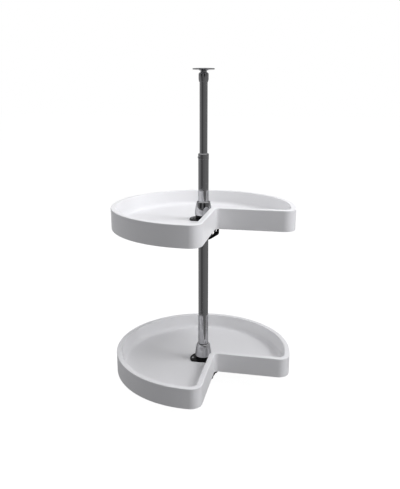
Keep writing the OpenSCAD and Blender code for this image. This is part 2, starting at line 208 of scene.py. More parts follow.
class Shader(Nodes):
    """One material with a Principled surface."""

    def __init__(self, name: str, **uniform: Any) -> None:
        """Makes the material.

        Args:
            name: The material's name.
            **uniform: The Principled sockets' uniform values, with underscores for spaces.
        """
        self.material = bpy.data.materials.new(name)
        super().__init__(self.material)
        values = {socket.replace("_", " "): value for socket, value in uniform.items()}
        self.surface = self.node("ShaderNodeBsdfPrincipled", {}, values)
        shaded = Wire(self, self.surface.outputs[0])
        self.node("ShaderNodeOutputMaterial", {}, {"Surface": shaded})

    def place(self, stretch: Triple = (1.0, 1.0, 1.0)) -> Wire:
        """Gives the object's own coordinates.

        Args:
            stretch: What each axis is multiplied by.

        Returns:
            The wire with the coordinates.
        """
        source = self.wire("ShaderNodeTexCoord", output="Object")
        return self.wire("ShaderNodeMapping", {}, {"Vector": source, "Scale": stretch})

    def noise(self, place: Wire, scale: float, detail: float = 2.0, roughness: float = 0.5) -> Wire:
        """Adds a noise pattern.

        Args:
            place: The coordinates.
            scale: Grains to a metre.
            detail: Octaves of finer grain.
            roughness: How strong the finer octaves are.

        Returns:
            The wire with the pattern, from 0 to 1.
        """
        inputs = {"Vector": place, "Scale": scale, "Detail": detail, "Roughness": roughness}
        return self.wire("ShaderNodeTexNoise", {}, inputs)

    def bump(self, height: Wire, distance: float, strength: float) -> Wire:
        """Turns a height pattern into a normal.

        Args:
            height: The pattern.
            distance: The height at 1, in metres.
            strength: The share of the bump that shows.

        Returns:
            The wire with the normal.
        """
        inputs = {"Strength": strength, "Distance": distance, "Height": height}
        return self.wire("ShaderNodeBump", {}, inputs, "Normal")

    def drive(self, **sockets: Wire) -> "Shader":
        """Links wires to the surface's sockets.

        Args:
            **sockets: The wire of each Principled socket, with underscores for spaces.

        Returns:
            This shader.
        """
        for name, wire in sockets.items():
            self.tree.links.new(wire.socket, self.surface.inputs[name.replace("_", " ")])
        return self


@dataclass(frozen=True)
class Moulded:
    """A moulded plastic: an even colour with a faint flow, and a fine spark-eroded grain."""

    name: str
    dark: Triple
    light: Triple
    roughness: float = 0.45
    uneven: float = 0.05
    flow: float = 9.0
    grain: float = 1400.0
    grain_depth: float = 0.00002
    gloss: float = 0.45

    def material(self) -> bpy.types.Material:
        """Builds the plastic's material."""
        shader = Shader(self.name, Specular_IOR_Level=self.gloss)
        place = shader.place()
        flow = shader.noise(place, self.flow, 3.0)
        grain = shader.noise(place, self.grain, 2.0, 0.6)
        shader.drive(
            Base_Color=shader.colours(flow, self.dark, self.light),
            Roughness=self.roughness + (flow - 0.5) * self.uneven + (grain - 0.5) * self.uneven,
            Normal=shader.bump(grain, self.grain_depth, 0.5),
        )
        return shader.material


@dataclass(frozen=True)
class Plated:
    """A bright plated metal: a faint drawn grain along Z, and handling marks in the gloss."""

    name: str
    dark: Triple
    light: Triple
    roughness: float = 0.08
    smear: float = 0.06
    marks: float = 38.0
    draw: Triple = (1.0, 1.0, 0.02)
    draw_scale: float = 2600.0
    draw_depth: float = 0.000002
    edge: float = 0.15

    def material(self) -> bpy.types.Material:
        """Builds the metal's material."""
        shader = Shader(self.name, Metallic=1.0, Specular_Tint=(self.edge,) * 3 + (1.0,))
        marks = shader.noise(shader.place(), self.marks, 4.0, 0.6)
        lines = shader.noise(shader.place(self.draw), self.draw_scale, 2.0)
        dulled = self.roughness + (marks - 0.4) * self.smear + (lines - 0.5) * 0.02
        shader.drive(
            Base_Color=shader.colours(marks, self.dark, self.light),
            Roughness=dulled.at_least(0.03),
            Normal=shader.bump(lines, self.draw_depth, 0.35),
        )
        return shader.material


class Finishes:
    """The object's finishes, each built once."""

    def __init__(self) -> None:
        """Builds one material for each slot."""
        makers = {
            Slot.WHITE: Moulded("moulded_white", (0.87, 0.87, 0.875), (0.90, 0.90, 0.90), 0.32),
            Slot.BLACK: Moulded(
                "moulded_black", (0.006, 0.006, 0.007), (0.012, 0.012, 0.013), 0.34, 0.1,
                gloss=0.04,
            ),
            Slot.CHROME: Plated("chrome_plate", (0.50, 0.50, 0.515), (0.56, 0.56, 0.575)),
            Slot.STEEL: Plated("zinc_plate", (0.42, 0.43, 0.45), (0.55, 0.55, 0.56), 0.24, 0.12),
            Slot.ACETAL: Moulded("natural_acetal", (0.72, 0.70, 0.64), (0.78, 0.76, 0.70), 0.35),
            Slot.BRASS: Plated("turned_brass", (0.58, 0.42, 0.18), (0.70, 0.52, 0.24), 0.22, 0.1),
        }
        self.by_slot = {slot: maker.material() for slot, maker in makers.items()}

    def dress_frame(self) -> None:
        """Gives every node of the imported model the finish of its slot."""
        slots = {part["node"]: Slot(part["material_slot"]) for part in frame["record"]["subparts"]}
        for name, node in frame["nodes"].items():
            node.data.materials.clear()
            node.data.materials.append(self.by_slot[slots[name]])


# ---- mesh building


@dataclass(frozen=True)
class Corner:
    """A point of a section: its run x, its height z, and what its rounding cuts off each edge."""

    x: float
    z: float
    cut: float = 0.0


def only(items: Iterable[Any], kind: type) -> list[Any]:
    """Returns the items of one kind."""
    return [item for item in items if isinstance(item, kind)]


def section(corners: Iterable[Corner], steps: int = CORNER_STEPS) -> BMesh:
    """Draws a closed section as one face in the XZ plane, and rounds its corners.

    Args:
        corners: The section's points, in order.
        steps: The number of edges in each rounded corner.

    Returns:
        The mesh with that face.
    """
    bm = bmesh.new()
    points = [(bm.verts.new((corner.x, 0.0, corner.z)), corner.cut) for corner in corners]
    bm.faces.new([vert for vert, _ in points])
    for vert, cut in points:
        if cut > 0.0:
            bmesh.ops.bevel(
                bm, geom=[vert], offset=cut, offset_type="OFFSET", segments=steps,
                profile=0.5, affect="VERTICES", material=-1, clamp_overlap=True,
            )
    return bm


def spun(
    bm: BMesh, geom: list[Any], angle: float, steps: int, centre: Vector = ORIGIN,
    merge: bool = False,
) -> list[Any]:
    """Spins part of a mesh about an upright axis.

    Args:
        bm: The mesh.
        geom: The part of it.
        angle: How far it turns, in radians.
        steps: The number of steps.
        centre: A point on the axis.
        merge: Whether the end joins the start.

    Returns:
        The vertices and edges at the end of the turn.
    """
    made = bmesh.ops.spin(
        bm, geom=geom, cent=centre, axis=UP, dvec=ORIGIN, angle=angle, steps=steps,
        use_merge=merge, use_duplicate=False,
    )
    return made["geom_last"]


def turned(corners: Iterable[Corner], steps: int = ROUND_STEPS) -> BMesh:
    """Turns a closed section once round the Z axis.

    Args:
        corners: The section's points, in order.
        steps: The number of steps round the axis.

    Returns:
        The closed mesh.
    """
    bm = section(corners)
    bmesh.ops.delete(bm, geom=bm.faces[:], context="FACES_ONLY")
    spun(bm, bm.verts[:] + bm.edges[:], math.tau, steps, merge=True)
    return closed(bm)


def closed(bm: BMesh) -> BMesh:
    """Welds a mesh, drops what has no face, and points its faces outwards.

    Args:
        bm: The mesh.

    Returns:
        The same mesh.
    """
    bmesh.ops.remove_doubles(bm, verts=bm.verts[:], dist=WELD)
    bmesh.ops.dissolve_degenerate(bm, dist=WELD, edges=bm.edges[:])
    loose = [edge for edge in bm.edges if not edge.link_faces]
    bmesh.ops.delete(bm, geom=loose, context="EDGES")
    bmesh.ops.recalc_face_normals(bm, faces=bm.faces[:])
    return bm


def plate(corners: Iterable[Corner], thickness: float) -> BMesh:
    """Makes a flat plate that stands on the XZ plane, centred on it.

    Args:
        corners: The plate's outline.
        thickness: Its thickness along Y.

    Returns:
        The closed mesh.
    """
    bm = section(corners)
    made = bmesh.ops.extrude_face_region(bm, geom=bm.faces[:])
    far = only(made["geom"], BMVert)
    bmesh.ops.translate(bm, verts=far, vec=(0.0, thickness, 0.0))
    bmesh.ops.translate(bm, verts=bm.verts[:], vec=(0.0, -thickness / 2, 0.0))
    bmesh.ops.recalc_face_normals(bm, faces=bm.faces[:])
    return bm


def prism(sides: int, radius: float, low: float, high: float) -> BMesh:
    """Makes an upright prism about the Z axis.

    Args:
        sides: The number of sides.
        radius: The radius of its corners.
        low: The height of its foot.
        high: The height of its top.

    Returns:
        The closed mesh.
    """
    bm = bmesh.new()
    bmesh.ops.create_cone(
        bm, cap_ends=True, segments=sides, radius1=radius, radius2=radius, depth=high - low,
        matrix=shift(z=(low + high) / 2),
    )
    return bm


def moved(bm: BMesh, *steps: Matrix) -> BMesh:
    """Moves a whole mesh.

    Args:
        bm: The mesh.
        *steps: The matrices, the first one applied first.

    Returns:
        The same mesh.
    """
    for step in steps:
        bmesh.ops.transform(bm, matrix=step, verts=bm.verts[:])
    return bm


def turn_z(degrees: float) -> Matrix:
    """Returns a turn about the Z axis."""
    return Matrix.Rotation(math.radians(degrees), 4, "Z")


def shift(x: float = 0.0, z: float = 0.0) -> Matrix:
    """Returns a straight move."""
    return Matrix.Translation((x, 0.0, z))


def joined(parts: Iterable[BMesh]) -> BMesh:
    """Puts several meshes into one.

    Args:
        parts: The meshes, which are freed.

    Returns:
        The one mesh.
    """
    whole = bmesh.new()
    carrier = bpy.data.meshes.new("joined")
    for part in parts:
        part.to_mesh(carrier)
        part.free()
        whole.from_mesh(carrier)
    bpy.data.meshes.remove(carrier)
    return whole


def ringed(bm: BMesh, angles: Iterable[float]) -> BMesh:
    """Copies a mesh round the Z axis.

    Args:
        bm: The mesh at angle 0, which is freed.
        angles: The angle of each copy, in degrees.

    Returns:
        The copies as one mesh.
    """
    copies = joined(moved(bm.copy(), turn_z(angle)) for angle in angles)
    bm.free()
    return copies


def placed(bm: BMesh, name: str) -> bpy.types.Object:
    """Puts a mesh into the scene as an object.

    Args:
        bm: The mesh, which is freed.
        name: The object's name.

    Returns:
        The object, at the origin.
    """
    mesh = bpy.data.meshes.new(name)
    bm.to_mesh(mesh)
    bm.free()
    holder = bpy.data.objects.new(name, mesh)
    bpy.context.scene.collection.objects.link(holder)
    return holder


def combined(
    base: BMesh, tool: BMesh, how: Cut = Cut.TAKE_AWAY, self_crossing: bool = False
) -> BMesh:
    """Cuts a closed mesh with another, or adds it.

    Args:
        base: The mesh that is kept, which is freed.
        tool: The mesh that cuts or is added, which is freed.
        how: Whether it cuts or adds.
        self_crossing: Whether the tool's own shells cross each other.

    Returns:
        The combined mesh.
    """
    holders = [placed(base, "base"), placed(tool, "tool")]
    modifier = holders[0].modifiers.new("combine", "BOOLEAN")
    modifier.operation = how.value
    modifier.solver = "EXACT"
    modifier.use_self = self_crossing
    modifier.object = holders[1]
    bpy.context.view_layer.update()
    graph = bpy.context.evaluated_depsgraph_get()
    result = bmesh.new()
    evaluated = holders[0].evaluated_get(graph)
    result.from_mesh(evaluated.to_mesh())
    evaluated.to_mesh_clear()
    for holder in holders:
        mesh = holder.data
        bpy.data.objects.remove(holder)
        bpy.data.meshes.remove(mesh)
    bmesh.ops.remove_doubles(result, verts=result.verts[:], dist=WELD)
    return result


@dataclass
class Workshop:
    """Turns finished meshes into pieces of the scene."""

    finishes: Finishes

    def piece(self, bm: BMesh, name: str, body: str, slot: Slot, *nodes: str) -> bpy.types.Object:
        """Makes a piece.

        Args:
            bm: Its mesh, already in place, which is freed.
            name: The piece's name.
            body: The body that it rides on.
            slot: Its material slot.
            *nodes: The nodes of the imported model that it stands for.

        Returns:
            The piece.
        """
        piece = placed(bm, name)
        mesh = piece.data
        mesh.polygons.foreach_set("use_smooth", [True] * len(mesh.polygons))
        mesh.set_sharp_from_angle(angle=SHARP_ANGLE)
        mesh.materials.append(self.finishes.by_slot[slot])
        normals = piece.modifiers.new("even_shading", "WEIGHTED_NORMAL")
        normals.keep_sharp = True
        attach(piece, body)
        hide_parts(*nodes)
        LOG.info("%s: %d faces on %s", name, len(mesh.polygons), body)
        return piece


# ---- fasteners


@dataclass(frozen=True)
class SocketScrew:
    """A button-head socket screw, its head's underside at z = 0 and its shank down -Z."""

    head_r: float
    head_h: float
    shank_r: float
    length: float
    socket_r: float

    def mesh(self) -> BMesh:
        """Builds the screw."""
        fine = self.shank_r * 0.2
        corners = [
            Corner(0.0, self.head_h), Corner(self.head_r * 0.8, self.head_h, self.head_h * 0.25),
            Corner(self.head_r, self.head_h * 0.45, self.head_h * 0.3),
            Corner(self.head_r, 0.0, fine), Corner(self.shank_r, 0.0),
            Corner(self.shank_r, -self.length, fine), Corner(0.0, -self.length),
        ]
        socket = prism(HEXAGON, self.socket_r, self.head_h * 0.35, self.head_h * 1.5)
        return combined(turned(corners, SMALL_STEPS), socket)


@dataclass(frozen=True)
class GrubScrew:
    """A headless screw along +X from its cup point at x = 0, with a hexagon socket in its end."""

    radius: float
    length: float

    def mesh(self) -> BMesh:
        """Builds the screw."""
        chamfer = self.radius * 0.25
        cup_r = self.radius * 0.55
        corners = [
            Corner(0.0, chamfer), Corner(cup_r, 0.0), Corner(self.radius - chamfer, 0.0),
            Corner(self.radius, chamfer), Corner(self.radius, self.length, chamfer * 0.5),
            Corner(0.0, self.length),
        ]
        socket = prism(HEXAGON, cup_r, self.length * 0.5, self.length * 1.5)
        return moved(combined(turned(corners, SMALL_STEPS), socket), LAY_DOWN)


@dataclass(frozen=True)
class HexNut:
    """A hexagon nut from z = 0 up, with chamfered corners and a bore."""

    radius: float
    height: float
    bore_r: float

    def mesh(self) -> BMesh:
        """Builds the nut."""
        body = prism(HEXAGON, self.radius, 0.0, self.height)
        bore = prism(SMALL_STEPS, self.bore_r, -self.height, 2 * self.height)
        blank = combined(body, bore)
        across = self.radius * math.cos(math.pi / HEXAGON)
        slope = self.radius - across
        outside = [
            Corner(self.radius * 2, -self.height), Corner(self.radius * 2, self.height * 2),
            Corner(across - slope, self.height + slope),
            Corner(self.radius + slope, self.height - slope),
            Corner(self.radius + slope, slope), Corner(across - slope, -slope),
        ]
        return combined(blank, turned(outside, SMALL_STEPS))


# ---- the post


@dataclass
class Post:
    """The telescoping post with its end cap, its clamp screw and its two plates."""

    shop: Workshop
    tube_wall: float = 0.0015
    inner_wall: float = 0.0012
    cap_round: float = 0.0022
    clamp_dir: float = -135.0
    clamp_drop: float = 0.009
    boss_h: float = 0.002
    boss_r: float = 0.01
    neck_r: float = 0.0075
    neck_h: float = 0.0042
    screw_circle: float = 0.019
    base_circle: float = 0.023
    hole_r: float = 0.00225
    sink_r: float = 0.0042
    hole_dirs: tuple[float, ...] = (45.0, 135.0, 225.0, 315.0)
    middle_hole_r: float = 0.0031
    middle_sink_r: float = 0.0057
    middle_sink_h: float = 0.0026
    clamp_hole_r: float = 0.0021
    cap_skirt: float = 0.0008
    cap_flare_h: float = 0.005
    cap_web: float = 0.0045

    def build(self) -> None:
        """Builds the post's pieces."""
        self.tube("lower_tube", "post", self.tube_wall)
        self.end_cap()
        self.clamp_screw()
        self.tube("upper_tube", "upper_post", self.inner_wall)
        self.top_cap()
        self.top_plate()
        self.base_plate()

    def tube(self, name: str, body: str, wall: float) -> None:
        """Makes one of the post's two stages.

        Args:
            name: The node's name.
            body: The body that it rides on.
            wall: The tube's wall.
        """
        low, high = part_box(name)
        radius = high.x
        edge = wall * 0.3
        corners = [
            Corner(radius, low.z, edge), Corner(radius, high.z, edge),
            Corner(radius - wall, high.z, edge), Corner(radius - wall, low.z, edge),
        ]
        self.shop.piece(turned(corners), f"{name}_skin", body, Slot.CHROME, name)

    def end_cap(self) -> None:
        """Makes the rounded cap on the lower stage, with the hole of its clamp screw."""
        low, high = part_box("tube_end_cap")
        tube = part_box("lower_tube")[1]
        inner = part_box("upper_tube")[1].x
        radius = high.x
        guide = inner + FIT
        spigot = tube.x - self.tube_wall - FIT
        corners = [
            Corner(guide, low.z, 0.0003), Corner(spigot, low.z, 0.0005), Corner(spigot, tube.z),
            Corner(radius, tube.z, 0.0002), Corner(radius, high.z, self.cap_round),
            Corner(guide, high.z, 0.0006),
        ]
        hole = moved(
            prism(SMALL_STEPS, self.clamp_hole_r, 0.0, radius * 1.5), LAY_DOWN,
            turn_z(self.clamp_dir), shift(z=high.z - self.clamp_drop),
        )
        bm = combined(turned(corners), hole)
        self.shop.piece(bm, "end_cap", "post", Slot.CHROME, "tube_end_cap")

    def clamp_screw(self) -> None:
        """Makes the small screw that clamps the upper stage."""
        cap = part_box("tube_end_cap")[1]
        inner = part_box("upper_tube")[1].x
        reach = cap.x - inner - 2 * FIT
        screw = SocketScrew(0.0035, 0.0022, shank_r=0.002, length=reach, socket_r=0.0015)
        bm = moved(
            screw.mesh(), LAY_DOWN, shift(x=cap.x + FIT),
            turn_z(self.clamp_dir), shift(z=cap.z - self.clamp_drop),
        )
        self.shop.piece(bm, "clamp_screw_detail", "post", Slot.STEEL, "clamp_screw")

    def top_cap(self) -> None:
        """Makes the rounded cap and its neck on the upper stage."""
        low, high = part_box("top_cap")
        radius = high.x
        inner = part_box("upper_tube")[1].x
        shoulder = high.z - self.neck_h
        under = shoulder - self.cap_web
        corners = [
            Corner(inner + FIT, low.z), Corner(inner + self.cap_skirt, low.z, 0.0003),
            Corner(radius, low.z + self.cap_flare_h, 0.002), Corner(radius, shoulder, 0.006),
            Corner(self.neck_r, shoulder, 0.0006), Corner(self.neck_r, high.z, 0.0004),
            Corner(self.middle_hole_r, high.z), Corner(self.middle_hole_r, under),
            Corner(inner + FIT, under),
        ]
        self.shop.piece(turned(corners), "top_cap_detail", "upper_post", Slot.CHROME, "top_cap")

    def _plate(
        self, name: str, body: str, slot: Slot, circle: float, seen: float, hidden: float,
        face: Sequence[Corner],
    ) -> None:
        """Makes a round plate with its countersunk screw holes in place of its node.

        Args:
            name: The node's name.
            body: The body that it rides on.
            slot: Its material slot.
            circle: The radius of its circle of screw holes.
            seen: The height of its open face.
            hidden: The height of the face on the cupboard.
            face: The section's corners on the open side, from the middle hole to the edge.
        """
        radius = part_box(name)[1].x
        way = 1.0 if seen > hidden else -1.0
        spare = 0.001
        blank = [
            *face, Corner(radius, hidden, 0.0003), Corner(self.middle_sink_r, hidden, 0.0001),
            Corner(self.middle_hole_r, hidden + way * self.middle_sink_h),
        ]
        hole = [
            Corner(0.0, seen + way * spare), Corner(self.sink_r + spare, seen + way * spare),
            Corner(self.hole_r, seen - way * (self.sink_r - self.hole_r)),
            Corner(self.hole_r, hidden - way * spare), Corner(0.0, hidden - way * spare),
        ]
        holes = ringed(moved(turned(hole, SMALL_STEPS), shift(x=circle)), self.hole_dirs)
        bm = combined(turned(blank), holes)
        self.shop.piece(bm, f"{name}_detail", body, slot, name)

    def top_plate(self) -> None:
        """Makes the round plate under the cupboard's top."""
        low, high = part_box("top_plate")
        face = low.z + self.boss_h
        bevel = 0.0008
        corners = [
            Corner(self.middle_hole_r, low.z), Corner(self.boss_r, low.z, 0.0005),
            Corner(self.boss_r + self.boss_h, face, 0.0012), Corner(high.x - bevel, face, 0.0004),
            Corner(high.x, face + bevel, 0.0003),
        ]
        slot = Slot.CHROME
        self._plate("top_plate", "upper_post", slot, self.screw_circle, face, high.z, corners)

    def base_plate(self) -> None:
        """Makes the round plate on the cupboard's floor."""
        low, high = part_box("base_plate")
        bevel = 0.001
        corners = [
            Corner(self.middle_hole_r, high.z), Corner(high.x - bevel, high.z, 0.0006),
            Corner(high.x, high.z - bevel, 0.0004),
        ]
        self._plate("base_plate", "post", Slot.STEEL, self.base_circle, high.z, low.z, corners)


# ---- the tray


def with_flats(bm: BMesh, distance: float) -> BMesh:
    """Cuts a closed mesh flat towards +X and -Y, where the notch walls pass it.

    Args:
        bm: The mesh.
        distance: The distance of both flats from the axis.

    Returns:
        The same mesh.
    """
    for normal in (Vector((1.0, 0.0, 0.0)), Vector((0.0, -1.0, 0.0))):
        cut = bmesh.ops.bisect_plane(
            bm, geom=bm.verts[:] + bm.edges[:] + bm.faces[:], dist=WELD,
            plane_co=normal * distance, plane_no=normal, clear_outer=True,
        )
        bmesh.ops.contextual_create(bm, geom=only(cut["geom_cut"], BMEdge))
    return closed(bm)


@dataclass
class TrayMoulding:
    """The white kidney tray, with its lip at z = 0: a swept rim, a flat floor, a seat and ribs."""

    wall: float = 0.003
    lip_w: float = 0.0135
    lip_round: float = 0.002
    foot: float = 0.015
    fillet: float = 0.01
    floor_depth: float = 0.038
    lobe_floor_r: float = 0.003
    notch_offset: float = 0.038
    notch_r: float = 0.01
    flat_run: float = 0.0015
    rib_t: float = 0.002
    rib_depth: float = 0.008
    rib_step: float = 15.0
    ribs: int = 19
    ring_ribs: Pair = (0.100, 0.160)
    pass_gap: float = 0.0005
    nut_gap: float = 0.0012
    seat_edge: float = 0.003
    corner_steps: int = 10
    round_steps: int = 150
    lobe_steps: int = 24
    notch_steps: int = 16
    ring_steps: int = 90

    def __post_init__(self) -> None:
        """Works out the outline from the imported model's size."""
        low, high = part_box("lower_tray")
        self.radius = high.x
        self.rim_h = high.z - low.z
        self.lobe_r = self.foot + self.fillet + self.lobe_floor_r
        lobe_y = self.notch_offset - self.lobe_r
        lobe_x = math.sqrt((self.radius - self.lobe_r) ** 2 - lobe_y**2)
        self.lobe = Vector((lobe_x, -lobe_y, 0.0))
        self.lobe_angle = math.atan2(lobe_y, lobe_x)
        notch = self.notch_offset + self.notch_r
        self.notch_centre = Vector((notch, -notch, 0.0))

    def _rim_wire(self) -> BMesh:
        """Draws the rim's section as an open wire at the first lobe's seam."""
        inner = self.foot + self.fillet + self.flat_run
        under = -self.floor_depth - self.wall
        nearly = 0.99
        corners = [
            Corner(0.0, -self.rim_h, 0.0008), Corner(0.0, 0.0, self.lip_round),
            Corner(self.lip_w, 0.0, self.lip_round), Corner(self.lip_w, -self.wall),
            Corner(self.foot, self.fillet - self.floor_depth),
            Corner(self.foot, -self.floor_depth, self.fillet * nearly),
            Corner(inner, -self.floor_depth), Corner(inner, under),
            Corner(self.foot - self.wall, under, (self.fillet + self.wall) * nearly),
            Corner(self.foot - self.wall, self.fillet - self.floor_depth),
            Corner(self.lip_w - self.wall, -self.wall, 0.001), Corner(self.wall, -self.wall, 0.001),
            Corner(self.wall, -self.rim_h, 0.0008),
        ]
        from_axis = (Corner(self.radius - c.x, c.z, c.cut) for c in corners)
        bm = section(from_axis, self.corner_steps)
        bmesh.ops.delete(bm, geom=bm.faces[:], context="FACES_ONLY")
        gap = [
            edge for edge in bm.edges
            if all(abs(vert.co.x - (self.radius - inner)) < WELD for vert in edge.verts)
        ]
        bmesh.ops.delete(bm, geom=gap, context="EDGES_FACES")
        return moved(bm, Matrix.Rotation(-self.lobe_angle, 4, "Z"))

    def _sweep_rim(self) -> BMesh:
        """Carries the section round the kidney's outline.

        Returns:
            The rim, open towards the floor.
        """
        bm = self._rim_wire()
        end = bm.verts[:] + bm.edges[:]

        def run(x: float, y: float) -> list[Any]:
            """Draws the end out straight, and returns the new end."""
            made = bmesh.ops.extrude_edge_only(bm, edges=only(end, BMEdge))
            verts = only(made["geom"], BMVert)
            bmesh.ops.translate(bm, verts=verts, vec=(x, y, 0.0))
            return verts + only(made["geom"], BMEdge)

        quarter = math.pi / 2
        straight = self.lobe.x - self.notch_centre.x
        other_lobe = Vector((-self.lobe.y, -self.lobe.x, 0.0))
        lobe_turn = quarter - self.lobe_angle
        end = spun(bm, end, 3 * quarter + 2 * self.lobe_angle, self.round_steps)
        end = spun(bm, end, lobe_turn, self.lobe_steps, other_lobe)
        end = run(0.0, straight)
        end = spun(bm, end, -quarter, self.notch_steps, self.notch_centre)
        end = run(straight, 0.0)
        spun(bm, end, lobe_turn, self.lobe_steps, self.lobe)
        bmesh.ops.remove_doubles(bm, verts=bm.verts[:], dist=WELD * 10)
        return bm

    def _ribs(self) -> BMesh:
        """Makes the ribs under the floor, from the hub to where the floor curves up.

        Returns:
            The ribs as one mesh whose shells cross each other.
        """
        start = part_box("lower_hub_nuts")[1].y + self.nut_gap
        under = -self.floor_depth - self.wall - self.rib_depth
        top = -self.floor_depth - self.wall / 2
        edge = self.radius - self.foot - self.fillet - 0.001
        outline = [
            Corner(start, under, 0.0006), Corner(start, top), Corner(edge, top),
            Corner(edge, under, 0.0006),
        ]
        angles = (self.rib_step * i for i in range(self.ribs))
        ribs = [ringed(plate(outline, self.rib_t), angles)]
        half = self.rib_t / 2
        foot = under + 0.0003
        for radius in self.ring_ribs:
            near, far = radius - half, radius + half
            ends = ((near, foot), (near, top), (far, top), (far, foot))
            ring = section(Corner(*end) for end in ends)
            spun(ring, ring.faces[:], math.radians(270.0), self.ring_steps)
            ribs.append(closed(ring))
        return joined(ribs)

    def mesh(self) -> BMesh:
        """Builds the moulding.

        Returns:
            The closed mesh, with its lip at z = 0.
        """
        bm = self._sweep_rim()
        floor = -self.floor_depth
        under = floor - self.wall
        for level in (floor, under):
            border = [
                edge for edge in bm.edges
                if edge.is_boundary and all(abs(vert.co.z - level) < WELD for vert in edge.verts)
            ]
            bmesh.ops.triangle_fill(bm, use_beauty=True, use_dissolve=True, edges=border)
        closed(bm)
        low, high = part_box("lower_hub_flange")
        flange_r, flat = -low.x, high.x
        neck_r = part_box("lower_collar")[1].x - COLLAR_STEP
        gap = self.pass_gap / 2
        seat = prism(ROUND_STEPS, flange_r + self.seat_edge, under - 0.0003, floor - 0.0002)
        seat = with_flats(seat, self.notch_offset - self.wall / 2)
        pocket = prism(ROUND_STEPS, flange_r + gap, floor, floor + self.fillet)
        pocket = with_flats(pocket, flat + gap)
        bore = prism(ROUND_STEPS, neck_r + FIT, under - 0.02, floor + 0.001)
        bm = combined(bm, joined([seat, self._ribs()]), Cut.ADD, self_crossing=True)
        bm = combined(bm, pocket)
        return combined(bm, bore)


# ---- one tier


